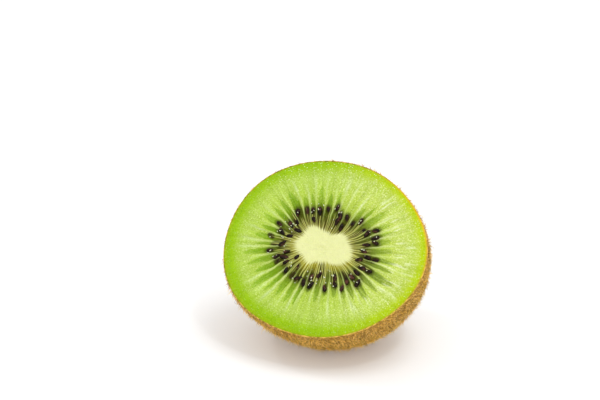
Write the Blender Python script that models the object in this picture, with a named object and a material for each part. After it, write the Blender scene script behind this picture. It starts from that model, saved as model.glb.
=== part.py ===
"""Half of a kiwi fruit, cut straight across its middle, as one closed solid.

The half rests on its skin with the cut face leaning back and looking up. It is shaped in its own frame,
with the cut face around the origin, facing +Z, and the blossom end on -Z. It is then tilted, set down on
the flat spot that its weight presses into the skin, and placed with the middle of that spot at the
world origin. Metres, +Z up, the cut face towards -Y.
"""

import math

import bmesh
import bpy
from mathutils import Matrix, Vector

NAME = "kiwi_half"

# Driving dimensions
CUT_RADIUS = 0.02558  # mean radius of the cut face
HALF_LENGTH = 0.0297  # from the cut face to the blossom end, without its nub
FACE_LEAN = math.radians(43.6)  # how far the cut face leans back from lying level
REST_SINK = 0.0010  # depth of fruit that the flat spot takes off

# The outline of the cut face: a soft oval with traces of three and five corners, which fade towards the
# blossom end
OVAL_SHARE = 0.050
CORNER_SHARE = 0.010
FIVE_SHARE = 0.0065
OUTLINE_TURN = math.radians(-9.4)  # where the long side of the oval lies, from +X
FIVE_TURN = math.radians(-2.5)
BARREL_POWER = 0.933  # under 1 makes the sides fuller than an ellipsoid's

# Relief of the skin: wide shallow dents, and the nub in its shallow dip at the blossom end
DENT_DEPTH = 0.00022
NUB_HEIGHT = 0.0013
NUB_RADIUS = 0.0026
DIP_DEPTH = 0.0007
DIP_RADIUS = 0.0062

# Relief of the cut face: the edge rounds over, the seed ring lies a little low, the core a little high
EDGE_DROP = 0.00035
EDGE_WIDTH = 0.0011
SEED_RING_DEPTH = 0.00022
SEED_RING_PLACE = 0.42  # share of the cut radius
SEED_RING_WIDTH = 0.16
CORE_RISE = 0.00015
CORE_PLACE = 0.24
CORE_SOFTNESS = 0.03

# Mesh density
SEGMENTS = 72
SKIN_RINGS = 22
POLE_CROWDING = 1.5  # 1 spaces the skin's rings evenly
FACE_RINGS = 12

SKIN_COLOUR = (0.36, 0.22, 0.06, 1.0)
FLESH_COLOUR = (0.42, 0.62, 0.09, 1.0)


def outline_factor(angle, share):
    """Radius of a cross-section over its mean. share is 1 at the cut and 0 at the blossom end."""
    turned = angle - OUTLINE_TURN
    wave = OVAL_SHARE * math.cos(2 * turned) + CORNER_SHARE * math.cos(3 * turned)
    wave += FIVE_SHARE * math.cos(5 * (angle - FIVE_TURN))
    return 1 + share * wave


def dents(angle, along):
    """Height of the skin's dents. along runs from 0 at the cut to 1 at the blossom end."""
    wave = math.sin(3 * angle + 5 * along) + math.sin(5 * angle - 8 * along + 1.3)
    return DENT_DEPTH * 0.5 * wave * math.sin(math.pi * along)


def skin_point(angle, along):
    """A point of the skin, along 0 at the cut edge and 1 at the pole of the blossom end."""
    turn = along * math.pi / 2
    radial = max(math.cos(turn), 0.0) ** BARREL_POWER
    radius = CUT_RADIUS * radial * outline_factor(angle, math.cos(turn))
    depth = HALF_LENGTH * math.sin(turn) ** BARREL_POWER
    depth += NUB_HEIGHT * math.exp(-((radius / NUB_RADIUS) ** 4))
    depth -= DIP_DEPTH * math.exp(-((radius / DIP_RADIUS) ** 2))
    radius += dents(angle, along) * radial
    return Vector((radius * math.cos(angle), radius * math.sin(angle), -depth))


def face_height(place, radius):
    """Height of the cut face at a share of its radius, below 0 where it is sunk."""
    from_edge = (1 - place) * radius
    edge = max(1 - from_edge / EDGE_WIDTH, 0.0) ** 2
    core = 1 / (1 + math.exp((place - CORE_PLACE) / CORE_SOFTNESS))
    sunk = SEED_RING_DEPTH * math.exp(-(((place - SEED_RING_PLACE) / SEED_RING_WIDTH) ** 2))
    return CORE_RISE * core - sunk - EDGE_DROP * edge


def face_place(ring):
    """Share of the cut radius at each ring of the face, closer together towards the edge."""
    return math.cos(ring / FACE_RINGS * math.pi / 2)


def skin_place(ring):
    """How far along the skin each of its rings lies, closer together towards the blossom end."""
    return 1 - (1 - ring / SKIN_RINGS) ** POLE_CROWDING


def ring_angles():
    return [2 * math.pi * i / SEGMENTS for i in range(SEGMENTS)]


def skin_ring(mesh, along):
    drop = Vector((0, 0, EDGE_DROP))
    return [mesh.verts.new(skin_point(angle, along) - drop) for angle in ring_angles()]


def face_ring(mesh, place):
    ring = []
    for angle in ring_angles():
        radius = CUT_RADIUS * outline_factor(angle, 1.0)
        across = place * radius
        height = face_height(place, radius)
        ring.append(mesh.verts.new((across * math.cos(angle), across * math.sin(angle), height)))
    return ring


def bridge(mesh, outer, inner, material):
    """A band of quads between two rings."""
    for i in range(SEGMENTS):
        j = (i + 1) % SEGMENTS
        mesh.faces.new((outer[i], outer[j], inner[j], inner[i])).material_index = material


def close_ring(mesh, ring, centre, material):
    for i in range(SEGMENTS):
        mesh.faces.new((ring[i], ring[(i + 1) % SEGMENTS], centre)).material_index = material


def half_fruit():
    """The half in its own frame, before it is set down: material 0 is skin, 1 is flesh."""
    mesh = bmesh.new()
    edge = skin_ring(mesh, 0.0)

    previous = edge
    for ring in range(1, SKIN_RINGS):
        current = skin_ring(mesh, skin_place(ring))
        bridge(mesh, current, previous, 0)
        previous = current
    pole = mesh.verts.new(skin_point(0.0, 1.0) - Vector((0, 0, EDGE_DROP)))
    close_ring(mesh, previous[::-1], pole, 0)

    previous = edge
    for ring in range(1, FACE_RINGS):
        current = face_ring(mesh, face_place(ring))
        bridge(mesh, previous, current, 1)
        previous = current
    middle = mesh.verts.new((0, 0, face_height(0.0, CUT_RADIUS)))
    close_ring(mesh, previous, middle, 1)
    bmesh.ops.recalc_face_normals(mesh, faces=mesh.faces)
    return mesh


def press_flat(mesh):
    """Cuts the flat spot, with the half already tilted, and returns the middle of the spot."""
    lowest = min(vertex.co.z for vertex in mesh.verts)
    floor = Vector((0, 0, lowest + REST_SINK))
    everything = mesh.verts[:] + mesh.edges[:] + mesh.faces[:]
    cut = bmesh.ops.bisect_plane(mesh, geom=everything, plane_co=floor, plane_no=(0, 0, -1), clear_outer=True)
    rim = [item for item in cut["geom_cut"] if isinstance(item, bmesh.types.BMEdge)]
    spot = bmesh.ops.contextual_create(mesh, geom=rim)["faces"][0]
    spot.material_index = 0
    bmesh.ops.recalc_face_normals(mesh, faces=mesh.faces)
    middle = spot.calc_center_median()
    middle.z = floor.z
    return middle


def plain_material(name, colour, roughness):
    material = bpy.data.materials.new(name)
    material.use_nodes = True
    shader = material.node_tree.nodes["Principled BSDF"]
    shader.inputs["Base Color"].default_value = colour
    shader.inputs["Roughness"].default_value = roughness
    shader.inputs["Metallic"].default_value = 0.0
    return material


def main():
    for old in list(bpy.data.objects):
        bpy.data.objects.remove(old)

    mesh = half_fruit()
    mesh.transform(Matrix.Rotation(FACE_LEAN, 4, "X"))
    middle = press_flat(mesh)
    mesh.transform(Matrix.Translation(-middle))

    data = bpy.data.meshes.new(NAME)
    mesh.to_mesh(data)
    mesh.free()
    data.materials.append(plain_material("kiwi_skin", SKIN_COLOUR, 0.8))
    data.materials.append(plain_material("kiwi_flesh", FLESH_COLOUR, 0.35))
    data.shade_smooth()
    data.set_sharp_from_angle(angle=math.radians(35))
    half = bpy.data.objects.new(NAME, data)
    bpy.context.scene.collection.objects.link(half)


main()
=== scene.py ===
"""Looks of the kiwi fruit half: wet cut flesh, seeds, thin skin, fuzz and blossom remains.

Everything is shaped in the fruit's own frame, with the cut face around the origin and facing +Z, and then
tilted and set down where the CAD solid lies. Metres throughout.
"""

import math

import bpy
import numpy as np
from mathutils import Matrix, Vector


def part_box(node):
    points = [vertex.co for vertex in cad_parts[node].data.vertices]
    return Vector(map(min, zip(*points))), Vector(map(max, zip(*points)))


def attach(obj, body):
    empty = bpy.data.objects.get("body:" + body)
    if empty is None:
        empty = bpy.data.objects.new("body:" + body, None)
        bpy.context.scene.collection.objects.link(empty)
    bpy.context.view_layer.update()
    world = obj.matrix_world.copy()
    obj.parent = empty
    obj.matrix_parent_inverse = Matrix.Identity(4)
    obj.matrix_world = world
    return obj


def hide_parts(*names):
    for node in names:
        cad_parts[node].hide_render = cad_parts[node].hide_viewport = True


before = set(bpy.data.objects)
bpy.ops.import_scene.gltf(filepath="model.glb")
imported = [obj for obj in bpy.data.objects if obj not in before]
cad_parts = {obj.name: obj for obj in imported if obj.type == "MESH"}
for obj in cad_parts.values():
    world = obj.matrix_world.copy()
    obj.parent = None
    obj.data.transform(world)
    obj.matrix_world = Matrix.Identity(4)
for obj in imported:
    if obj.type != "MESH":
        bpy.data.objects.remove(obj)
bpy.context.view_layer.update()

NODE = "kiwi_half"
BODY = "root"
MM = 0.001

# The shape of the solid, as in the CAD model
CUT_RADIUS = 25.58 * MM
HALF_LENGTH = 29.7 * MM
FACE_LEAN = math.radians(43.6)
OVAL_SHARE = 0.050
CORNER_SHARE = 0.010
FIVE_SHARE = 0.0065
OUTLINE_TURN = math.radians(-9.4)
FIVE_TURN = math.radians(-2.5)
BARREL_POWER = 0.933
NUB_HEIGHT = 1.3 * MM
NUB_RADIUS = 2.6 * MM
DIP_DEPTH = 0.7 * MM
DIP_RADIUS = 6.2 * MM
EDGE_DROP = 0.35 * MM

# The cut face
SKIN_THICKNESS = 0.16 * MM
CORE_RADIUS = 5.95 * MM
CORE_OVAL = 0.27
CORE_TURN = math.radians(-7)  # the long way of the core's oval
# Its corners and the hollows between them: direction in degrees, height or depth as a share of the radius
CORE_CORNERS = ((-16, 0.11), (42, 0.08), (127, 0.16), (-120, 0.16))
CORE_HOLLOWS = ((-65, 0.14), (17, 0.08), (66, 0.10), (158, 0.13), (-152, 0.12))
CORE_BUMP_WIDTH = 0.24  # radians
FAN_AXIS = math.radians(-4)  # the long way of the core, which the walls bend towards on their way in
FAN_BEND = 0.16  # how far they bend, in radians at FAN_PLACE of the face's radius
FAN_PLACE = 0.35
FAN_FADE = 0.19
FAN_AT_RIM = 0.033  # taken off, so that the walls reach the rim straight
FAN_STEEPNESS = 0.6  # radians for each radius of the face, further in
FAN_INNERMOST = 0.15  # how much further in than FAN_PLACE they go on bending
CHAMBERS = 40
CHAMBER_TIPS = (0.57, 0.74)  # where the chambers end, on the way from the core (0) to the skin (1)
TIP_SHIFTS = (  # sides where they end sooner or later: direction in degrees, spread in radians, and shift
    (-40, 0.6, -0.02),
    (-135, 0.4, 0.07),
    (25, 0.4, -0.04),
    (-87, 0.4, -0.16),
    (75, 0.4, -0.22),
    (130, 0.4, -0.09),
)
CHAMBER_FULLNESS = (0.68, 0.84)  # share of the way across from wall to wall
CHAMBER_STRENGTH = (0.78, 1.0)
WALL_WIDTH = 0.10 * MM  # at the core
WALL_WIDENING = 0.42 * MM  # towards the skin
THREADS = 132  # fine pale threads that run out from the core
THREAD_WIDTH = 0.10 * MM
SEED_LENGTH = 2.25 * MM
SEED_WIDTH = 1.42 * MM
SEED_THICKNESS = 1.0 * MM
SEED_SIZES = (0.80, 1.08)
SEED_PLACES = (0.25, 0.30)  # of the outer seed, in every other chamber
SEED_SCATTER = 0.04
STRAY_SEEDS = 0.15  # share of the outer seeds that lie further out, by STRAY_STEP
STRAY_STEP = 0.08
INNER_SEEDS = 0.62  # share of the chambers that also have an inner seed
INNER_STEP = (0.09, 0.16)  # how much further in it lies
LOST_SEEDS = 0.12  # share of the chambers whose outer seed has fallen out
SEED_HEIGHTS = (0.16, -0.4, -0.9)  # of a seed's middle over the face, in thicknesses
SEED_HEIGHT_SHARES = (0.76, 0.12, 0.12)
# Pale beads of wet gel that stand in for painted glints
JUICE_GLINT_BEADS = 60  # besides those on the seeds

# The fuzz and the dry tuft at the blossom end
DOWN_COUNT = 60000
DOWN_LENGTH = 0.5 * MM
DOWN_STAND = 0.35  # how upright the hairs are, from 0 to 1
HAIR_COUNT = 20000
HAIR_LENGTH = 1.15 * MM
HAIR_STAND = 0.55
FUZZ_WIDTH = 0.09 * MM
REMAINS_STRANDS = 54

# Mesh density
FACE_SEGMENTS = 864
CORE_RINGS = 14
FLESH_RINGS = 88
SKIN_SEGMENTS = 480
SKIN_RINGS = 160

# The camera: a long lens, looking down on the table from the front right
CAMERA_TURN = math.radians(19.0)
CAMERA_ELEVATION = math.radians(22.0)
CAMERA_DISTANCE = 0.424
CAMERA_LENS = 100.0
CAMERA_ASIDE = -5.86 * MM  # from the line of sight through the middle of the face
CAMERA_ABOVE = 11.96 * MM


# ---------------------------------------------------------------- numbers and noise

def smooth(value, low, high):
    """0 below low, 1 above high, and a soft step between."""
    share = np.clip((value - low) / (high - low), 0.0, 1.0)
    return share * share * (3 - 2 * share)


def lattice_noise(points, size, seed):
    """Soft noise from -1 to 1 with lumps of about the given size, over an (n, 3) array of points."""
    entries = 4096  # a power of two, so that the wrap below is a plain mask
    wrap = entries - 1
    table = np.random.default_rng(seed).permutation(entries)
    values = np.random.default_rng(seed + 1).uniform(-1, 1, entries)
    scaled = points / size
    cell = np.floor(scaled).astype(int)
    part = scaled - cell
    part = part * part * (3 - 2 * part)
    total = np.zeros(len(points))
    for dx in (0, 1):
        for dy in (0, 1):
            for dz in (0, 1):
                key = table[(cell[:, 0] + dx) & wrap]
                key = table[(key + cell[:, 1] + dy) & wrap]
                key = table[(key + cell[:, 2] + dz) & wrap]
                weight = np.where(dx, part[:, 0], 1 - part[:, 0])
                weight = weight * np.where(dy, part[:, 1], 1 - part[:, 1])
                weight = weight * np.where(dz, part[:, 2], 1 - part[:, 2])
                total += weight * values[key]
    return total


def around_noise(angle, lowest, highest, seed):
    """Noise of about -1 to 1 around a full turn, from waves of lowest to highest cycles."""
    random = np.random.default_rng(seed)
    cycles = np.arange(lowest, highest + 1)
    phases = random.uniform(0, 2 * math.pi, len(cycles))
    weights = random.uniform(0.4, 1.0, len(cycles))
    total = np.zeros_like(angle)
    for count, phase, weight in zip(cycles, phases, weights):
        total += weight * np.cos(count * angle + phase)
    return total / math.sqrt(np.sum(weights**2))


# ---------------------------------------------------------------- the shape of the fruit

def outline_factor(angle, share=1.0):
    turned = angle - OUTLINE_TURN
    wave = OVAL_SHARE * np.cos(2 * turned) + CORNER_SHARE * np.cos(3 * turned)
    wave = wave + FIVE_SHARE * np.cos(5 * (angle - FIVE_TURN))
    return 1 + share * wave


def face_radius(angle):
    return CUT_RADIUS * outline_factor(angle)


def core_radius(angle):
    factor = 1 + CORE_OVAL * np.cos(2 * (angle - CORE_TURN))
    for direction, height in CORE_CORNERS:
        factor = factor + height * near(angle, math.radians(direction), CORE_BUMP_WIDTH)
    for direction, depth in CORE_HOLLOWS:
        factor = factor - depth * near(angle, math.radians(direction), CORE_BUMP_WIDTH)
    return CORE_RADIUS * factor


def fan_bend(radius, angle):
    """How far, at most, the walls have bent towards the long ends of the core, in radians."""
    further_in = FAN_PLACE - radius / face_radius(angle)
    outside = FAN_BEND * (np.exp(np.minimum(further_in, 0) / FAN_FADE) - FAN_AT_RIM)
    return outside + FAN_STEEPNESS * np.clip(further_in, 0, FAN_INNERMOST)


def rim_angle(radius, angle):
    """The direction in which the wall through a point meets the rim."""
    return angle + fan_bend(radius, angle) * np.sin(2 * (angle - FAN_AXIS))


def wall_angle(ray, place):
    """The direction from the middle of a point at a place on the wall that meets the rim at ray."""
    angle = ray
    for _ in range(20):
        radius = place_radius(angle, place)
        angle = 0.5 * angle + 0.5 * (ray - fan_bend(radius, angle) * np.sin(2 * (angle - FAN_AXIS)))
    return angle


def place_radius(angle, place):
    """Distance from the middle of the face, at a place from the core's edge (0) to the skin (1)."""
    inner = core_radius(angle)
    return inner + (face_radius(angle) - SKIN_THICKNESS - inner) * place


def near(angle, middle, width):
    """1 at the middle direction, fading away on both sides of it."""
    off = (angle - middle + math.pi) % (2 * math.pi) - math.pi
    return np.exp(-((off / width) ** 2))


def skin_local(angle, along):
    """Points of the skin in the fruit's frame, along 0 at the cut edge and 1 at the blossom end."""
    turn = along * math.pi / 2
    radial = np.maximum(np.cos(turn), 0.0) ** BARREL_POWER
    radius = CUT_RADIUS * radial * outline_factor(angle, np.cos(turn))
    depth = HALF_LENGTH * np.sin(turn) ** BARREL_POWER
    depth = depth + NUB_HEIGHT * np.exp(-((radius / NUB_RADIUS) ** 4))
    depth = depth - DIP_DEPTH * np.exp(-((radius / DIP_RADIUS) ** 2))
    return np.stack([radius * np.cos(angle), radius * np.sin(angle), -depth - EDGE_DROP], -1)


def lean(points):
    """Tilts points from the fruit's frame, with the cut face level, to the angle that it rests at."""
    x, y, z = points[..., 0], points[..., 1], points[..., 2]
    sine, cosine = math.sin(FACE_LEAN), math.cos(FACE_LEAN)
    return np.stack([x, y * cosine - z * sine, y * sine + z * cosine], -1)


def resting_offset():
    """How far the tilted fruit moves to reach the upper corner of the CAD solid's box."""
    angle, along = np.meshgrid(np.linspace(0, 2 * math.pi, 361), np.linspace(0, 1, 121))
    highest = lean(skin_local(angle, along)).reshape(-1, 3).max(0)
    return np.array(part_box(NODE)[1]) - highest


OFFSET = resting_offset()


def to_world(points):
    return lean(np.asarray(points, float)) + OFFSET


def on_table(points, clearance=0.0):
    """Flattens what would reach below the table."""
    points = points.copy()
    points[..., 2] = np.maximum(points[..., 2], clearance)
    return points


# ---------------------------------------------------------------- meshes

def make_piece(name, points, faces, material, values=None, uv=None, hidden=0):
    """A smooth mesh piece that rides on the fruit, with named values for each point.

    The last faces, as many as hidden says, lie inside the fruit and share one corner of the map.
    """
    mesh = bpy.data.meshes.new(name)
    mesh.from_pydata(np.asarray(points).tolist(), [], faces)
    for label, numbers in (values or {}).items():
        layer = mesh.attributes.new(label, "FLOAT", "POINT")
        layer.data.foreach_set("value", np.asarray(numbers, np.float32))
    if uv is not None:
        corners = np.empty(len(mesh.loops), int)
        mesh.loops.foreach_get("vertex_index", corners)
        places = np.asarray(uv, np.float32)[corners]
        inside = sum(len(face) for face in faces[len(faces) - hidden:])
        if inside:
            places[-inside:] = 0.01 + 0.05 * places[-inside:]
        layer = mesh.uv_layers.new(name="OFBake")
        layer.data.foreach_set("uv", places.ravel())
    mesh.shade_smooth()
    mesh.materials.append(material)
    piece = bpy.data.objects.new(name, mesh)
    bpy.context.scene.collection.objects.link(piece)
    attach(piece, BODY)
    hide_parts(NODE)
    return piece


def ring_quads(rings, segments, first=0):
    """Faces between closed rings of points stored one after another."""
    ring = np.arange(rings - 1)[:, None] * segments + first
    here = np.arange(segments)[None, :]
    there = (here + 1) % segments
    quads = np.stack([ring + here, ring + there, ring + segments + there, ring + segments + here], -1)
    return quads.reshape(-1, 4).tolist()


def fan(ring_start, segments, centre, backwards=False):
    here = np.arange(segments)
    there = (here + 1) % segments
    pair = (there, here) if backwards else (here, there)
    return np.stack([pair[0] + ring_start, pair[1] + ring_start, np.full(segments, centre)], -1).tolist()


def closed_tube(rings, segments, first):
    """Faces of a tube whose two end points are stored after its rings."""
    end = first + rings * segments
    faces = ring_quads(rings, segments, first)
    faces += fan(first, segments, end, backwards=True)
    return faces + fan(end - segments, segments, end + 1)


def rounded(lengthwise, girth, turn, half_length, half_width, half_thickness):
    """Points of a long rounded body along x: rings first, then its two ends."""
    rings = np.stack([
        lengthwise * half_length + 0 * turn,
        girth * np.cos(turn) * half_width,
        girth * np.sin(turn) * half_thickness,
    ], -1).reshape(-1, 3)
    return np.concatenate([rings, [[-half_length, 0, 0], [half_length, 0, 0]]])


def laid(x, y, z, heading, centre):
    """Points turned about the vertical to a heading, and moved over a point of the cut face."""
    return np.stack([
        x * math.cos(heading) - y * math.sin(heading) + centre[0],
        x * math.sin(heading) + y * math.cos(heading) + centre[1],
        z,
    ], -1)


# ---------------------------------------------------------------- materials

def paint(red, green, blue):
    """A colour as it looks on a screen, 0 to 255, in the linear values that shaders take."""
    def linear(level):
        level /= 255
        return level / 12.92 if level <= 0.04045 else ((level + 0.055) / 1.055) ** 2.4
    return (linear(red), linear(green), linear(blue), 1.0)


class Shader:
    """A Principled material whose node tree is built by short calls."""

    def __init__(self, name):
        self.material = bpy.data.materials.new(name)
        self.material.use_nodes = True
        self.tree = self.material.node_tree
        self.surface = self.tree.nodes["Principled BSDF"]

    def put(self, socket, value):
        if isinstance(value, bpy.types.NodeSocket):
            self.tree.links.new(value, socket)
        else:
            socket.default_value = value

    def set(self, **values):
        """Sets the surface's sockets, named in lower case with underscores."""
        for label, value in values.items():
            socket = next(s for s in self.surface.inputs if s.name.lower().replace(" ", "_") == label)
            self.put(socket, value)

    def attribute(self, name):
        node = self.tree.nodes.new("ShaderNodeAttribute")
        node.attribute_name = name
        return node.outputs["Fac"]

    def position(self):
        return self.tree.nodes.new("ShaderNodeTexCoord").outputs["Object"]

    def uv_part(self, axis):
        separate = self.tree.nodes.new("ShaderNodeSeparateXYZ")
        node = self.tree.nodes.new("ShaderNodeUVMap")
        node.uv_map = "OFBake"
        self.tree.links.new(node.outputs["UV"], separate.inputs[0])
        return separate.outputs[axis]

    def noise(self, size, detail=2.0, roughness=0.5):
        """Noise with lumps of about the given size in metres."""
        node = self.tree.nodes.new("ShaderNodeTexNoise")
        self.put(node.inputs["Vector"], self.position())
        node.inputs["Scale"].default_value = 1 / size
        node.inputs["Detail"].default_value = detail
        node.inputs["Roughness"].default_value = roughness
        return node.outputs["Fac"]

    def cells(self, size):
        """Distance from the middle of the nearest of many cells of about the given size."""
        node = self.tree.nodes.new("ShaderNodeTexVoronoi")
        self.put(node.inputs["Vector"], self.position())
        node.inputs["Scale"].default_value = 1 / size
        return node.outputs["Distance"]

    def dots(self, size, share, smallest=0.10, largest=0.36):
        """Scattered soft dots, one in some of the cells of the given size."""
        node = self.tree.nodes.new("ShaderNodeTexVoronoi")
        self.put(node.inputs["Vector"], self.position())
        node.inputs["Scale"].default_value = 1 / size
        lot = self.tree.nodes.new("ShaderNodeSeparateColor")
        self.tree.links.new(node.outputs["Color"], lot.inputs[0])
        chosen = self.math("LESS_THAN", lot.outputs[0], share)
        dot = self.between(node.outputs["Distance"], smallest, largest, 1.0, 0.0)
        return self.math("MULTIPLY", chosen, dot)

    def math(self, operation, first, second):
        node = self.tree.nodes.new("ShaderNodeMath")
        node.operation = operation
        self.put(node.inputs[0], first)
        self.put(node.inputs[1], second)
        return node.outputs[0]

    def between(self, value, low, high, start=0.0, end=1.0):
        """Maps low..high to start..end, softly, and holds it outside."""
        node = self.tree.nodes.new("ShaderNodeMapRange")
        node.interpolation_type = "SMOOTHSTEP"
        for label, number in (
            ("Value", value),
            ("From Min", low),
            ("From Max", high),
            ("To Min", start),
            ("To Max", end),
        ):
            self.put(node.inputs[label], number)
        return node.outputs[0]

    def ramp(self, value, stops):
        """A colour ramp from (place, colour) pairs."""
        node = self.tree.nodes.new("ShaderNodeValToRGB")
        elements = node.color_ramp.elements
        while len(elements) < len(stops):
            elements.new(0.5)
        for element, (place, colour) in zip(elements, stops):
            element.position = place
            element.color = colour
        self.put(node.inputs[0], value)
        return node.outputs[0]

    def mix(self, share, first, second, blend="MIX"):
        node = self.tree.nodes.new("ShaderNodeMix")
        node.data_type = "RGBA"
        node.blend_type = blend
        node.clamp_factor = True
        for label, value in (("Factor_Float", share), ("A_Color", first), ("B_Color", second)):
            socket = next(s for s in node.inputs if s.identifier == label)
            self.put(socket, value)
        return next(s for s in node.outputs if s.identifier == "Result_Color")

    def brighten(self, colour, value, low, high):
        """Multiplies a colour by a factor of low to high, as the value goes from 0 to 1."""
        grey = self.ramp(value, [(0.0, (low, low, low, 1)), (1.0, (high, high, high, 1))])
        return self.mix(1.0, colour, grey, "MULTIPLY")

    def bump(self, *layers):
        """Adds bumps from (height, depth in metres) pairs to the surface."""
        normal = None
        for height, depth in layers:
            node = self.tree.nodes.new("ShaderNodeBump")
            node.inputs["Distance"].default_value = depth
            self.put(node.inputs["Height"], height)
            if normal is not None:
                self.put(node.inputs["Normal"], normal)
            normal = node.outputs[0]
        self.put(self.surface.inputs["Normal"], normal)


def flesh_zones(shader, place, locule):
    """The colours of the cut face from the core out to the skin, before grain and light."""
    outer = shader.ramp(place, [
        (0.00, paint(112, 108, 28)),
        (0.05, paint(68, 60, 6)),
        (0.20, paint(100, 110, 28)),
        (0.38, paint(158, 184, 60)),
        (0.56, paint(169, 197, 68)),
        (0.74, paint(173, 201, 82)),
        (0.82, paint(163, 194, 62)),
        (0.91, paint(150, 190, 8)),
        (0.96, paint(142, 184, 0)),
        (1.00, paint(150, 182, 0)),
    ])
    petal = shader.ramp(place, [
        (0.00, paint(112, 106, 28)),
        (0.08, paint(64, 56, 6)),
        (0.20, paint(76, 84, 8)),
        (0.30, paint(90, 112, 8)),
        (0.38, paint(106, 142, 0)),
        (0.55, paint(118, 163, 0)),
        (0.80, paint(138, 182, 8)),
    ])
    petal = shader.mix(shader.math("MULTIPLY", shader.attribute("dull"), 0.7), petal, paint(98, 116, 40))
    colour = shader.mix(locule, outer, petal)
    inner = shader.ramp(place, [
        (0.00, paint(190, 194, 96)),
        (0.12, paint(158, 170, 84)),
        (0.24, paint(176, 196, 112)),
        (0.40, paint(196, 214, 132)),
        (0.66, paint(206, 226, 160)),
        (0.90, paint(180, 210, 96)),
    ])
    near_core = shader.between(place, 0.02, 0.16, 0.8, 0.0)
    brownish = shader.math("MULTIPLY", shader.attribute("low"), near_core)
    colour = shader.mix(brownish, colour, paint(150, 142, 14))
    # Darker round the seeds: their dark gel and painted shade; over sunken seeds, the seed showing through
    colour = shader.mix(shader.attribute("halo"), colour, paint(46, 38, 0))
    # Pale walls, which on the right side also carry painted glint dashes
    colour = shader.mix(shader.attribute("ray"), colour, inner)
    colour = shader.mix(shader.attribute("thread"), colour, paint(216, 218, 118))
    cream = shader.mix(shader.noise(2.2 * MM, detail=3.0), paint(228, 231, 172), paint(215, 220, 152))
    colour = shader.mix(shader.attribute("core"), colour, cream)
    return shader.brighten(colour, shader.attribute("fibre"), 0.80, 1.20)


def flesh_material():
    shader = Shader("kiwi_flesh")
    place = shader.attribute("place")
    locule = shader.attribute("locule")
    colour = flesh_zones(shader, place, locule)

    grain = shader.noise(0.34 * MM, detail=3.0, roughness=0.75)
    outside = shader.between(place, 0.15, 0.6)
    dark_grain = shader.math("MULTIPLY", outside, shader.between(grain, 0.52, 0.30, 0.0, 0.9))
    inside_rim = shader.math("MULTIPLY", outside, shader.between(place, 0.80, 0.93, 1.0, 0.15))
    inside_rim = shader.math("MULTIPLY", inside_rim, shader.between(locule, 0.0, 1.0, 1.0, 0.2))
    light_grain = shader.math("MULTIPLY", inside_rim, shader.between(grain, 0.50, 0.74, 0.0, 0.75))
    deeper = shader.mix(1.0, colour, (0.70, 0.78, 0.42, 1.0), "MULTIPLY")
    colour = shader.mix(dark_grain, colour, deeper)
    colour = shader.mix(light_grain, colour, paint(230, 244, 164))
    # Painted light: the right side of the face and its rim brightened, as where the light falls on it
    painted_sun_colour = shader.mix(1.0, colour, (1.50, 1.18, 2.1, 1.0), "MULTIPLY")
    colour = shader.mix(shader.attribute("painted_sunlight"), colour, painted_sun_colour)
    # Pale specks: partly the flesh's own grain, partly painted glints, more on the right and near the upper
    # rim where the light catches it
    dots = shader.math("MULTIPLY", shader.dots(0.44 * MM, 0.42, 0.06, 0.38), shader.attribute("specks_and_glints"))
    colour = shader.mix(dots, colour, paint(236, 250, 190))
    # Painted light: a yellow glow along the rim on the right, where light shines through the thin skin edge
    colour = shader.mix(shader.attribute("painted_rim_glow"), colour, paint(236, 196, 24))

    wet = shader.between(locule, 0.1, 0.8, 0.36, 0.16)
    shader.set(base_color=colour, roughness=wet)
    shader.set(specular_ior_level=0.08)
    shader.set(subsurface_weight=0.12, subsurface_radius=(1.0, 1.2, 0.3), subsurface_scale=0.12 * MM)
    shader.bump((grain, 0.22 * MM), (shader.cells(0.5 * MM), 0.10 * MM))
    return shader.material


def seed_material():
    shader = Shader("kiwi_seed")
    tint = shader.noise(1.4 * MM, detail=2.0)
    colour = shader.ramp(tint, [
        (0.34, paint(10, 4, 0)),
        (0.52, paint(32, 16, 4)),
        (0.68, paint(84, 50, 38)),
    ])
    shader.set(base_color=colour, roughness=0.36, specular_ior_level=0.05)
    shader.set(coat_weight=0.16, coat_roughness=0.10)
    shader.bump((shader.noise(0.12 * MM, detail=2.0), 0.03 * MM))
    return shader.material


def juice_glint_material():
    """Beads of wet gel round the seeds, coloured pale so that they show as painted glints."""
    shader = Shader("kiwi_juice_glints")
    # Near-white gel: painted glints on and between the seeds
    colour = shader.mix(shader.noise(1.5 * MM), paint(170, 180, 120), paint(236, 240, 214))
    shader.set(base_color=colour, roughness=0.12, specular_ior_level=0.6)
    return shader.material


def skin_material():
    shader = Shader("kiwi_skin")
    lip = shader.attribute("lip")
    bloom = shader.attribute("bloom")
    broad = shader.noise(7 * MM, detail=3.0)
    fine = shader.noise(0.5 * MM, detail=4.0, roughness=0.7)
    colour = shader.ramp(fine, [
        (0.32, paint(96, 60, 8)),
        (0.46, paint(158, 108, 28)),
        (0.58, paint(208, 160, 64)),
        (0.70, paint(255, 230, 140)),
    ])
    colour = shader.brighten(colour, broad, 0.74, 1.2)
    colour = shader.mix(shader.dots(0.9 * MM, 0.4), colour, paint(112, 60, 18))
    patches = shader.between(shader.noise(0.8 * MM, detail=3.0), 0.35, 0.65)
    edge = shader.mix(patches, paint(140, 112, 14), paint(228, 188, 84))
    edge = shader.mix(shader.attribute("sunlit"), edge, paint(255, 206, 50))
    colour = shader.mix(lip, colour, edge)
    colour = shader.mix(bloom, colour, paint(64, 42, 22))
    shader.set(base_color=colour, roughness=0.72, specular_ior_level=0.3)
    shader.bump((fine, 0.16 * MM), (shader.cells(0.6 * MM), 0.08 * MM))
    return shader.material


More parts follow.
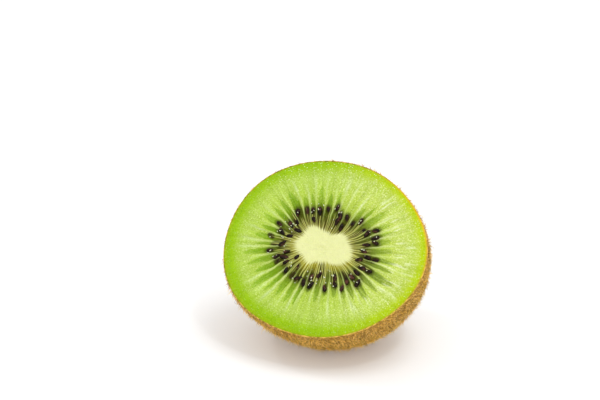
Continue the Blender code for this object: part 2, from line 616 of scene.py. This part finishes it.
def fuzz_material(name, root, middle, tip):
    """Hairs, which carry their tone across the map and the way to the tip up it."""
    shader = Shader(name)
    tone = shader.uv_part(0)
    along = shader.uv_part(1)
    colour = shader.ramp(along, [(0.0, root), (0.45, middle), (1.0, tip)])
    colour = shader.brighten(colour, tone, 0.33, 1.85)
    colour = shader.mix(shader.between(tone, 0.6, 0.95, 0.0, 0.5), colour, paint(255, 225, 156))
    shader.set(base_color=colour, roughness=0.6, specular_ior_level=0.25)
    return shader.material


# ---------------------------------------------------------------- the cut face

class Spokes:
    """Lines that run out from the core, at uneven steps around it."""

    def __init__(self, count, jitter, seed):
        self.random = np.random.default_rng(seed)
        step = 2 * math.pi / count
        self.count = count
        self.angles = (np.arange(count) + self.random.uniform(-jitter, jitter, count)) * step
        self.gaps = np.diff(np.append(self.angles, self.angles[0] + 2 * math.pi))

    def vary(self, low, high):
        """A random number for each line."""
        return self.random.uniform(low, high, self.count)

    def between(self, angle):
        """The line before each angle, and the place across to the next line, from -1 to 1."""
        angle = (angle - self.angles[0]) % (2 * math.pi) + self.angles[0]
        index = np.searchsorted(self.angles, angle, side="right") - 1
        return index, 2 * (angle - self.angles[index]) / self.gaps[index] - 1

    def nearest(self, angle):
        """The nearest line to each angle, and how far off it is in radians."""
        index, across = self.between(angle)
        off = (1 - np.abs(across)) * self.gaps[index] / 2
        return np.where(across > 0, (index + 1) % self.count, index), off

    def middle(self, index):
        return self.angles[index] + self.gaps[index] / 2


def petal_width(reach):
    """Width of a chamber, 0 to 1, on the way from the core (0) to its tip (1)."""
    opening = 0.78 + 0.22 * np.sin(np.clip(reach / 0.3, 0, 1) * math.pi / 2)
    narrowing = 1 - 0.30 * smooth(reach, 0.35, 0.95)
    return opening * narrowing * np.sqrt(np.clip(1 - reach**6, 0, 1))


def choose_seeds(walls):
    """The seeds as rows of angle, place from core to rim, heading, size, and height over the face."""
    random = np.random.default_rng(5)
    rows = []
    for chamber in range(CHAMBERS):
        outer = SEED_PLACES[chamber % 2] + random.uniform(-SEED_SCATTER, SEED_SCATTER)
        outer += STRAY_STEP * (random.random() < STRAY_SEEDS)
        places = [outer]
        if random.random() < INNER_SEEDS:
            places.append(outer - random.uniform(*INNER_STEP))
        if random.random() < LOST_SEEDS:
            del places[0]
        for place in places:
            ray = walls.middle(chamber) + random.uniform(-0.2, 0.2) * walls.gaps[chamber]
            place += 0.04 * near(ray, math.pi, 0.6) - 0.05 * near(ray, math.radians(-100), 0.7)
            place -= 0.03 * near(ray, math.radians(100), 0.5)
            angle = wall_angle(ray, place)
            ahead = face_point(wall_angle(ray, place + 0.02), place + 0.02) - face_point(angle, place)
            heading = math.atan2(ahead[1], ahead[0]) + random.normal() * 0.4
            size = random.uniform(*SEED_SIZES)
            height = random.choice(SEED_HEIGHTS, p=SEED_HEIGHT_SHARES) * SEED_THICKNESS
            rows.append((angle, place, heading, size, height))
    return np.array(rows)


def face_point(angle, place):
    """Points of the cut face, level, from the core's edge (place 0) to the skin (place 1)."""
    radius = place_radius(angle, place)
    return np.stack([radius * np.cos(angle), radius * np.sin(angle), np.zeros_like(radius)], -1)


def seed_halo(points, seeds):
    """How dark the flesh is round the seeds, from its dark gel and from painted shade, and over the sunken
    ones, at each face point.
    """
    dark = np.zeros(len(points))
    for angle, place, heading, size, height in seeds:
        centre = face_point(np.array(angle), np.array(place))
        offset = points - centre
        lengthwise = offset[:, 0] * math.cos(heading) + offset[:, 1] * math.sin(heading)
        across = offset[:, 1] * math.cos(heading) - offset[:, 0] * math.sin(heading)
        far = np.hypot(lengthwise / (SEED_LENGTH * size), across / (SEED_WIDTH * size))
        depth = 0.95 if height < 0 else 0.72
        dark = np.maximum(dark, depth * (1 - smooth(far, 0.42, 1.15 if height > 0 else 0.8)))
    return dark


def flesh_grid():
    """The points of the cut face, level, ring by ring, with each one's radius, place and direction."""
    angles = np.arange(FACE_SEGMENTS) * 2 * math.pi / FACE_SEGMENTS
    core_steps = np.arange(1, CORE_RINGS + 1)[:, None] / CORE_RINGS
    flesh_steps = np.arange(1, FLESH_RINGS + 1)[:, None] / FLESH_RINGS
    inner = core_radius(angles)
    rim = face_radius(angles) - SKIN_THICKNESS
    core_part = inner * core_steps
    flesh_part = inner + (rim - inner) * flesh_steps

    radius = np.concatenate([core_part, flesh_part]).ravel()
    place = np.concatenate([0 * core_part, flesh_steps + 0 * inner]).ravel()
    angle = np.tile(angles, CORE_RINGS + FLESH_RINGS)
    flat = np.stack([radius * np.cos(angle), radius * np.sin(angle), 0 * radius], -1)
    return flat, radius, place, angle


def chamber_pattern(walls, place, angle, bent, drum):
    """How far each point lies in one of the dark chambers, 0 to 1."""
    middles = walls.middle(np.arange(CHAMBERS))
    tips = walls.vary(*CHAMBER_TIPS)
    for direction, spread, shift in TIP_SHIFTS:
        tips += shift * near(middles, math.radians(direction), spread)
    fullness = walls.vary(*CHAMBER_FULLNESS)
    strength = walls.vary(*CHAMBER_STRENGTH)

    index, across = walls.between(bent)
    reach = place / tips[index] + 0.06 * lattice_noise(drum, 0.8 * MM, 27) * smooth(place, 0.3, 0.5)
    width = petal_width(np.clip(reach, 0, 2)) * fullness[index]
    softness = 0.07 + 0.07 * smooth(reach, 0.4, 1.1)
    locule = smooth(width - np.abs(across), -softness, softness)
    locule *= strength[index] * smooth(place, 0.02, 0.10) * (1 - 0.3 * smooth(reach, 0.6, 1.0))
    veins = 1 - 0.3 * smooth(lattice_noise(drum, 0.3 * MM, 28), 0.0, 0.6) * smooth(place, 0.25, 0.4)
    locule *= veins * (1 - 0.18 * near(angle, math.radians(25), 0.5))
    return locule


def wall_pattern(walls, flat, radius, place, bent, stretch):
    """How strongly the pale walls between the chambers show at each point, 0 to 1."""
    brightness, spread, end = walls.vary(0.5, 1.0), walls.vary(0.6, 1.3), walls.vary(0.62, 0.96)
    wall, off = walls.nearest(bent)
    brightness = brightness[wall] * (0.8 + 0.4 * lattice_noise(flat, 1.6 * MM, 26))
    width = WALL_WIDTH + WALL_WIDENING * spread[wall] * place**1.2
    ray = np.clip(brightness, 0, 1) * np.exp(-((off * radius / stretch / width) ** 2))
    ray *= smooth(place, 0.0, 0.06) * (1 - smooth(place, end[wall] - 0.3, end[wall]))
    return ray


def thread_pattern(radius, place, angle, rimwards, stretch):
    """How strongly the fine threads round the core show at each point, and the core itself, 0 to 1."""
    threads = Spokes(THREADS, 0.38, 12)
    line, off = threads.nearest(rimwards)
    tooth = threads.vary(0.35, 1.0)[line] * np.exp(-((off * radius / stretch / THREAD_WIDTH) ** 2))
    length, out = threads.vary(0.3, 1.6), threads.vary(0.12, 0.40)
    thread = 0.9 * tooth * (1 - smooth(place, out[line] - 0.12, out[line]))
    past_core = (radius - core_radius(angle)) / MM
    core = 1 - smooth(past_core - length[line] * tooth, -0.9, 0.5)
    return thread, core


def fibre_pattern(place, bent, drum, core):
    """Fine lines and streaks along the walls, above and below 0.5, which brighten and darken the flesh."""
    streak = 0.55 * lattice_noise(drum, 0.45 * MM, 23) + 0.6 * lattice_noise(drum, 1.1 * MM, 24)
    streak = np.sign(streak) * np.abs(streak) ** 0.8
    lines = 0.12 * around_noise(bent, 90, 190, 4) * smooth(place, 0.0, 0.03)
    fibre = 0.5 + lines * (1 - 0.75 * smooth(place, 0.5, 0.85))
    fibre = fibre + 0.28 * streak * smooth(place, 0.2, 0.5) * (1 - 0.6 * smooth(place, 0.75, 0.95))
    return np.where(core > 0.9, 0.5, fibre)


def facing_right(angle):
    return smooth(np.cos(angle - math.radians(12)), -0.2, 1.0)


def glint_dash_pattern(place, angle, drum):
    """Short pale dashes along the walls, on the right side of the face: painted glints."""
    dashes = smooth(lattice_noise(drum, 0.42 * MM, 25), 0.35, 0.7)
    dashes *= facing_right(angle) * smooth(place, 0.45, 0.7) * (1 - smooth(place, 0.85, 0.95))
    return dashes


def tint_patterns(place, angle, locule):
    """Where the tint of the flesh changes with its side of the face, and where light is painted on it as
    sunlit patches, glints and a glowing rim, 0 to 1 for each kind.
    """
    right = facing_right(angle)
    upward = smooth(np.sin(angle), 0.2, 1.0) * smooth(place, 0.72, 0.86)
    # Pale specks, partly the flesh's grain and partly painted glints, weighted to the right and the upper
    # rim
    specks_and_glints = smooth(place, 0.3, 0.6) * (0.25 + 0.5 * right + 0.7 * upward)
    return dict(
        low=smooth(-np.sin(angle + math.radians(8)), -0.4, 0.7),
        dull=near(angle, math.radians(-35), 0.95),
        # Painted sunlight: brighter towards the right side and the rim
        painted_sunlight=right * smooth(place, 0.2, 0.7) * (0.40 + 0.60 * smooth(place, 0.8, 0.95)),
        specks_and_glints=np.clip(specks_and_glints * (1 - smooth(place, 0.97, 1.0)) * (1 - 0.8 * locule), 0, 1),
        # Painted glow on the right of the rim, where light shines through the skin's edge
        painted_rim_glow=0.6 * smooth(place, 0.968, 0.995) * near(angle, math.radians(28), 0.6),
    )


def close_below(top):
    """Closes the face inside the fruit, with a skirt below its edge and an underside.

    Returns the points, with two rings and two middles added, the faces, and how many of the last ones
    are hidden.
    """
    skirt = top[-FACE_SEGMENTS:] * (0.995, 0.995, 1) - (0, 0, 1.5 * MM)
    under = skirt * (0.9, 0.9, 1) - (0, 0, 1.5 * MM)
    middles = np.array([[0, 0, 0.10 * MM], [0, 0, -3.2 * MM]])
    points = np.concatenate([top, skirt, under, middles])
    count = len(points) - len(middles)
    quads = [face[::-1] for face in ring_quads(count // FACE_SEGMENTS, FACE_SEGMENTS)]
    sides = 2 * FACE_SEGMENTS
    faces = quads[:-sides] + fan(0, FACE_SEGMENTS, count) + quads[-sides:]
    faces += fan(count - FACE_SEGMENTS, FACE_SEGMENTS, count + 1, backwards=True)
    return points, faces, sides + FACE_SEGMENTS


def build_flesh(walls, seeds):
    flat, radius, place, angle = flesh_grid()
    wander = 0.28 * lattice_noise(flat, 4 * MM, 21) + 0.15 * lattice_noise(flat, 1.3 * MM, 22)
    rimwards = rim_angle(radius, angle)
    bent = rimwards + wander * 0.05
    stretch = 1 + 2 * fan_bend(radius, angle) * np.cos(2 * (angle - FAN_AXIS))
    # Noise over these points is drawn out along the walls
    drum = np.stack([22 * MM * np.cos(bent), 22 * MM * np.sin(bent), 0.13 * radius], -1)

    locule = chamber_pattern(walls, place, angle, bent, drum)
    ray = wall_pattern(walls, flat, radius, place, bent, stretch)
    # The walls also carry painted glints: short pale dashes on the right side
    ray = np.maximum(ray, 0.9 * glint_dash_pattern(place, angle, drum))
    thread, core = thread_pattern(radius, place, angle, rimwards + wander * 0.03, stretch)
    fibre = fibre_pattern(place, bent, drum, core)

    height = 0.10 * MM * core - 0.20 * MM * locule - 0.16 * MM * np.exp(-(((place - 0.2) / 0.16) ** 2))
    height += 0.05 * MM * ray + 0.02 * MM * (fibre - 0.5) + 0.05 * MM * thread
    height += 0.05 * MM * lattice_noise(flat, 2.2 * MM, 31) + 0.018 * MM * lattice_noise(flat, 0.6 * MM, 32)
    edge = np.clip(1 - (face_radius(angle) - SKIN_THICKNESS - radius) / (0.9 * MM), 0, 1)
    height -= 0.16 * MM * edge**2
    points, faces, hidden = close_below(flat + height[:, None] * (0, 0, 1))

    # The rim's colours reach further in at the lower left
    rimward = place + 0.03 * np.cos(angle - math.radians(215)) * smooth(place, 0.6, 0.9)
    rimward = np.where(place > 0.97, np.maximum(rimward, place), rimward)
    values = dict(place=rimward, locule=locule, ray=ray, thread=thread, core=core, fibre=fibre)
    values.update(halo=seed_halo(flat, seeds), **tint_patterns(place, angle, locule))
    in_core = dict(core=1.0, fibre=0.5)
    at_rim = dict(place=1.0, fibre=0.5)
    for label, numbers in values.items():
        beyond = at_rim.get(label, 0.0)
        tail = [beyond] * (2 * FACE_SEGMENTS) + [in_core.get(label, 0.0), beyond]
        values[label] = np.concatenate([numbers, tail])
    uv = 0.5 + points[:, :2] / (2.2 * CUT_RADIUS)
    return make_piece("cut_flesh", to_world(points), faces, flesh_material(), values, uv, hidden)


def build_seeds(seeds):
    """All seeds as one mesh of flattened drops, pointed towards the core."""
    around, rings = 20, 13
    turn = np.linspace(0, 2 * math.pi, around, endpoint=False)
    swing = np.linspace(0, math.pi, rings + 2)[1:-1, None]
    girth = np.sin(swing) * (0.76 + 0.24 * -np.cos(swing))
    drop = rounded(-np.cos(swing), girth, turn, SEED_LENGTH / 2, SEED_WIDTH / 2, SEED_THICKNESS / 2)
    random = np.random.default_rng(8)
    points, faces = [], []
    for number, (angle, place, heading, size, height) in enumerate(seeds):
        x, y, z = (drop * size).T
        roll = random.normal() * 0.25
        pitch = random.normal() * 0.12
        across = y * math.cos(roll) - z * math.sin(roll)
        up = y * math.sin(roll) + z * math.cos(roll) + x * math.sin(pitch)
        centre = face_point(np.array(angle), np.array(place))
        points.append(laid(x, across, up + height - 0.15 * MM, heading, centre))
        faces += closed_tube(rings, around, number * len(drop))
    return make_piece("seeds", to_world(np.concatenate(points)), faces, seed_material())


def choose_beads(seeds, random):
    """The beads of wet gel, pale as painted glints, as rows of angle, place, size in millimetres, and
    height over the face.
    """
    rows = []
    for angle, place, _, _, height in seeds:
        if height < 0:
            continue
        for _ in range(random.choice([0, 1, 2], p=[0.35, 0.45, 0.2])):
            along = place + random.uniform(-0.045, 0.045)
            aside = angle + random.uniform(-0.04, 0.05)
            rows.append((aside, along, random.uniform(0.09, 0.19), height + 0.42 * SEED_THICKNESS))
    for _ in range(JUICE_GLINT_BEADS):
        leftward = random.random() < 0.45
        angle = random.normal(math.pi, 0.35) if leftward else random.uniform(0, 2 * math.pi)
        rows.append((angle, random.uniform(0.07, 0.40), random.uniform(0.08, 0.2), -0.12 * MM))
    return rows


def build_juice_glints(seeds):
    """Small beads of wet gel on and between the seeds, flattened and drawn out along the chambers, pale to
    show as painted glints.
    """
    random = np.random.default_rng(14)
    around, rings = 8, 4
    turn = np.linspace(0, 2 * math.pi, around, endpoint=False)
    swing = np.linspace(0, math.pi, rings + 2)[1:-1, None]
    points, faces = [], []
    for number, (angle, place, size, height) in enumerate(choose_beads(seeds, random)):
        length, width = size * random.uniform(1.0, 1.9) * MM, size * 0.8 * MM
        bead = rounded(-np.cos(swing), np.sin(swing), turn, length, width, width)
        x, y, z = bead.T
        heading = angle + random.normal() * 0.5
        centre = face_point(np.array(angle), np.array(place))
        points.append(laid(x, y, z * 0.7 + height, heading, centre))
        faces += closed_tube(rings, around, number * len(bead))
    return make_piece("juice_glints", to_world(np.concatenate(points)), faces, juice_glint_material())


# ---------------------------------------------------------------- the skin and its fuzz

def skin_world(angle, along):
    return to_world(skin_local(angle, along))


def build_skin():
    angles = np.arange(SKIN_SEGMENTS) * 2 * math.pi / SKIN_SEGMENTS
    radius = face_radius(angles)
    ragged = 0.06 * MM * around_noise(angles, 20, 140, 6)

    def lip(inset, height):
        inside = radius - inset
        return np.stack([inside * np.cos(angles), inside * np.sin(angles), height + ragged], -1)

    rings = [
        lip(SKIN_THICKNESS + 0.15 * MM, -0.9 * MM - 2 * ragged),
        lip(SKIN_THICKNESS + 0.03 * MM, -0.12 * MM),
        lip(SKIN_THICKNESS * 0.6, -0.03 * MM),
        lip(SKIN_THICKNESS * 0.15, -0.12 * MM),
    ]
    lips = len(rings)
    along = 1 - (1 - np.arange(SKIN_RINGS) / SKIN_RINGS) ** 1.25
    for step in along:
        rings.append(skin_local(angles, np.full_like(angles, step)))
    points = np.concatenate(rings)
    outward = points / np.linalg.norm(points, axis=1)[:, None]
    lump = 0.05 * MM * lattice_noise(points, 1.1 * MM, 41) + 0.03 * MM * lattice_noise(points, 0.5 * MM, 42)
    lump[: (lips + 1) * SKIN_SEGMENTS] = 0
    points = points + outward * lump[:, None]
    pole = skin_local(np.array([0.0]), np.array([1.0]))
    points = on_table(to_world(np.concatenate([points, pole])))
    faces = [face[::-1] for face in ring_quads(lips + SKIN_RINGS, SKIN_SEGMENTS)]
    faces += fan((lips + SKIN_RINGS - 1) * SKIN_SEGMENTS, SKIN_SEGMENTS, len(points) - 1, backwards=True)
    lip_value = np.zeros(len(points))
    lip_value[: (lips + 1) * SKIN_SEGMENTS] = 1.0

    steps = np.concatenate([-0.004 * np.arange(lips, 0, -1), along])
    out = np.append(np.repeat(1 - steps, SKIN_SEGMENTS), 0.0)
    around = np.append(np.tile(angles, len(steps)), 0.0)
    uv = 0.5 + 0.49 / (1 - steps[0]) * np.stack([out * np.cos(around), out * np.sin(around)], -1)
    bloom = 0.9 * (1 - smooth(out, 0.035, 0.10))
    sunlit = 0.6 * near(around, math.radians(28), 0.6)
    values = dict(lip=lip_value, bloom=bloom, sunlit=sunlit)
    return make_piece("skin", points, faces, skin_material(), values, uv)


def scatter_roots(count, random):
    """Random places on the skin, even over its area, as angles and places along."""
    table = np.linspace(0.0, 0.995, 400)
    profile = skin_local(np.zeros_like(table), table)
    step = np.linalg.norm(np.diff(profile, axis=0), axis=1)
    weight = step * (profile[1:, 0] + profile[:-1, 0]) / 2
    total = np.concatenate([[0], np.cumsum(weight)])
    along = np.interp(random.uniform(0, total[-1], count), total, table)
    return random.uniform(0, 2 * math.pi, count), along


def skin_frame(angle, along):
    """Points of the skin with the outward direction and the direction towards the blossom end."""
    small = 1e-4
    points = skin_world(angle, along)
    sideways = skin_world(angle + small, along) - points
    before = along - small * (along > small)
    onwards = skin_world(angle, np.minimum(along + small, 1)) - skin_world(angle, before)
    outward = np.cross(onwards, sideways)
    outward /= np.linalg.norm(outward, axis=1)[:, None] + 1e-20
    flip = np.sum(outward * (points - to_world(np.zeros(3))), 1) < 0
    outward[flip] *= -1
    onwards /= np.linalg.norm(onwards, axis=1)[:, None] + 1e-20
    return points, outward, onwards


def build_fuzz(name, count, length, stand, seed, material, bends):
    """Tapered three-sided hairs. stand is how upright they are, bends whether each bends halfway."""
    random = np.random.default_rng(seed)
    angle, along = scatter_roots(count, random)
    root, outward, onwards = skin_frame(angle, along)
    above = root[:, 2] > 0.15 * MM
    angle, along, root, outward, onwards = (a[above] for a in (angle, along, root, outward, onwards))
    count = len(root)

    sideways = np.cross(outward, onwards)
    comb = 2.2 * lattice_noise(root, 3.0 * MM, seed + 5) + random.normal(0.4, 0.5, count)
    lay = onwards * np.cos(comb)[:, None] + sideways * np.sin(comb)[:, None]
    upright = np.clip(random.normal(stand, 0.22, count), 0.05, 1.0)[:, None]
    first = outward * upright + lay * np.sqrt(1 - upright**2)
    curl = random.normal(0, 0.55, (count, 3))
    second = first * 0.8 + lay * 0.35 + curl * 0.45
    second /= np.linalg.norm(second, axis=1)[:, None]
    size = length * np.clip(random.lognormal(0, 0.38, count), 0.4, 2.2)

    sink = outward * (0.06 * MM)
    base = root - sink
    joint = base + first * (size * 0.5)[:, None]
    tip = joint + second * (size * 0.5)[:, None] if bends else base + first * size[:, None]
    across = np.cross(first, random.normal(size=(count, 3)))
    across /= np.linalg.norm(across, axis=1)[:, None]
    over = np.cross(first, across)
    thick = FUZZ_WIDTH * random.uniform(0.7, 1.2, count)[:, None]

    def ring(centre, share):
        corners = [across * math.cos(a) + over * math.sin(a) for a in (0, 2 * math.pi / 3, 4 * math.pi / 3)]
        return [centre + corner * thick * share / 2 for corner in corners]

    rows = ring(base, 1.0) + (ring(joint, 0.8) if bends else []) + [tip]
    points = on_table(np.stack(rows, 1), 0.02 * MM).reshape(-1, 3)
    size_of_one = len(rows)
    pattern = []
    if bends:
        pattern = [(0, 1, 4, 3), (1, 2, 5, 4), (2, 0, 3, 5)]
    top = 3 if bends else 0
    point = size_of_one - 1
    pattern += [(top, top + 1, point), (top + 1, top + 2, point), (top + 2, top, point)]
    starts = np.arange(count) * size_of_one
    faces = []
    for corners in pattern:
        faces += (starts[:, None] + np.array(corners)[None, :]).tolist()
    tone = 0.5 + 0.75 * lattice_noise(root, 0.42 * MM, seed + 9) + random.normal(0, 0.2, count)
    tone = np.clip(tone, 0.02, 0.98)
    rise = np.array([0.03] * 3 + ([0.5] * 3 if bends else []) + [0.97])
    uv = np.stack([np.repeat(tone, size_of_one), np.tile(rise, count)], -1)
    return make_piece(name, points, faces, material, uv=uv)


def remains_material():
    shader = Shader("kiwi_blossom_remains")
    colour = shader.ramp(shader.noise(0.8 * MM, detail=3.0), [
        (0.35, paint(84, 58, 32)),
        (0.55, paint(140, 104, 60)),
        (0.72, paint(190, 154, 100)),
    ])
    shader.set(base_color=colour, roughness=0.85, specular_ior_level=0.2)
    shader.bump((shader.noise(0.2 * MM, detail=3.0), 0.08 * MM))
    return shader.material


def build_blossom_remains():
    """The withered tuft at the blossom end: short, thick, curling strands round the nub."""
    random = np.random.default_rng(61)
    sides, joints = 6, 6
    flatness = 0.55
    corner = np.linspace(0, 2 * math.pi, sides, endpoint=False)
    pole = skin_local(np.array([0.0]), np.array([1.0]))[0]
    points, faces = [], []
    for strand in range(REMAINS_STRANDS):
        angle = 2 * math.pi * (strand + random.uniform(-0.4, 0.4)) / REMAINS_STRANDS * 3
        root = np.array([math.cos(angle), math.sin(angle), 0]) * random.uniform(0.3, 2.3) * MM
        length = random.uniform(1.3, 2.6) * MM
        heading = angle + random.normal() * 0.7
        out = random.uniform(0.2, 1.3)
        curl = random.uniform(-1.6, 1.6)
        place = pole + root + (0, 0, 0.5 * MM)
        direction = np.array([math.cos(heading) * out, math.sin(heading) * out, -1.0])
        for joint in range(joints):
            share = joint / (joints - 1)
            direction = direction / np.linalg.norm(direction)
            side = np.cross(direction, (0.3, 0.2, 1.0))
            side /= np.linalg.norm(side)
            over = np.cross(direction, side)
            thick = 0.22 * MM * (1 - 0.8 * share) * random.uniform(0.8, 1.2)
            wide, high = thick * np.cos(corner)[:, None], thick * flatness * np.sin(corner)[:, None]
            points.append(place + wide * side + high * over)
            place = place + direction * length / (joints - 1)
            direction = direction + curl * 0.35 * side + random.normal(0, 0.12, 3)
        first = strand * (joints * sides + 2)
        points.append(np.array([points[-joints].mean(0), place - direction * 0.1 * MM]))
        faces += closed_tube(joints, sides, first)
    world = on_table(to_world(np.concatenate(points)), 0.02 * MM)
    return make_piece("blossom_remains", world, faces, remains_material())


# ---------------------------------------------------------------- the stage

def build_floor():
    shader = Shader("pale_table")
    shader.set(base_color=(0.79, 0.83, 0.86, 1), roughness=0.55, specular_ior_level=0.2)
    # Lit a little from within, which keeps the shadow under the fruit pale
    shader.set(emission_color=(1.0, 0.87, 0.79, 1), emission_strength=0.17)
    half = 4.0
    corners = [(-half, -half, 0), (half, -half, 0), (half, half, 0), (-half, half, 0)]
    mesh = bpy.data.meshes.new("table_top")
    mesh.from_pydata(corners, [], [(0, 1, 2, 3)])
    mesh.materials.append(shader.material)
    floor = bpy.data.objects.new("table_top", mesh)
    bpy.context.scene.collection.objects.link(floor)


def area_light(name, place, target, size, power):
    light = bpy.data.lights.new(name, "AREA")
    light.shape = "DISK"
    light.size = size
    light.energy = power
    lamp = bpy.data.objects.new(name, light)
    lamp.location = place
    lamp.rotation_euler = (Vector(target) - Vector(place)).to_track_quat("-Z", "Y").to_euler()
    bpy.context.scene.collection.objects.link(lamp)


def build_lights():
    middle = (0, 0, 0.02)
    area_light("key", (0.26, -0.04, 0.78), middle, 0.4, 1.6)
    area_light("front", (0.06, -0.78, 0.30), middle, 0.7, 1.35)
    area_light("sparkle_right", (0.28, -0.20, 0.62), middle, 0.05, 0.40)
    area_light("sparkle_left", (-0.50, 0.05, 0.55), middle, 0.05, 0.36)
    world = bpy.data.worlds.new("studio")
    world.use_nodes = True
    world.node_tree.nodes["Background"].inputs["Color"].default_value = (1.0, 0.975, 0.95, 1)
    world.node_tree.nodes["Background"].inputs["Strength"].default_value = 0.87
    bpy.context.scene.world = world
    bpy.context.scene.view_settings.view_transform = "Standard"


def build_camera():
    back = Vector((
        math.sin(CAMERA_TURN) * math.cos(CAMERA_ELEVATION),
        -math.cos(CAMERA_TURN) * math.cos(CAMERA_ELEVATION),
        math.sin(CAMERA_ELEVATION),
    ))
    right = Vector((math.cos(CAMERA_TURN), math.sin(CAMERA_TURN), 0))
    up = back.cross(right)
    middle = Vector(to_world(np.zeros(3)))
    data = bpy.data.cameras.new("camera")
    data.lens = CAMERA_LENS
    camera = bpy.data.objects.new("camera", data)
    camera.location = middle + back * CAMERA_DISTANCE + right * CAMERA_ASIDE + up * CAMERA_ABOVE
    camera.rotation_euler = back.to_track_quat("Z", "Y").to_euler()
    bpy.context.scene.collection.objects.link(camera)
    bpy.context.scene.camera = camera


walls = Spokes(CHAMBERS, 0.2, 11)
seeds = choose_seeds(walls)
build_flesh(walls, seeds)
build_seeds(seeds)
build_juice_glints(seeds)
build_skin()
down = fuzz_material("kiwi_down", paint(113, 73, 8), paint(211, 160, 45), paint(255, 230, 140))
build_fuzz("down", DOWN_COUNT, DOWN_LENGTH, DOWN_STAND, 51, down, bends=False)
hair = fuzz_material("kiwi_hair", paint(138, 92, 10), paint(222, 173, 55), paint(255, 230, 132))
build_fuzz("hair", HAIR_COUNT, HAIR_LENGTH, HAIR_STAND, 52, hair, bends=True)
build_blossom_remains()
build_floor()
build_lights()
build_camera()
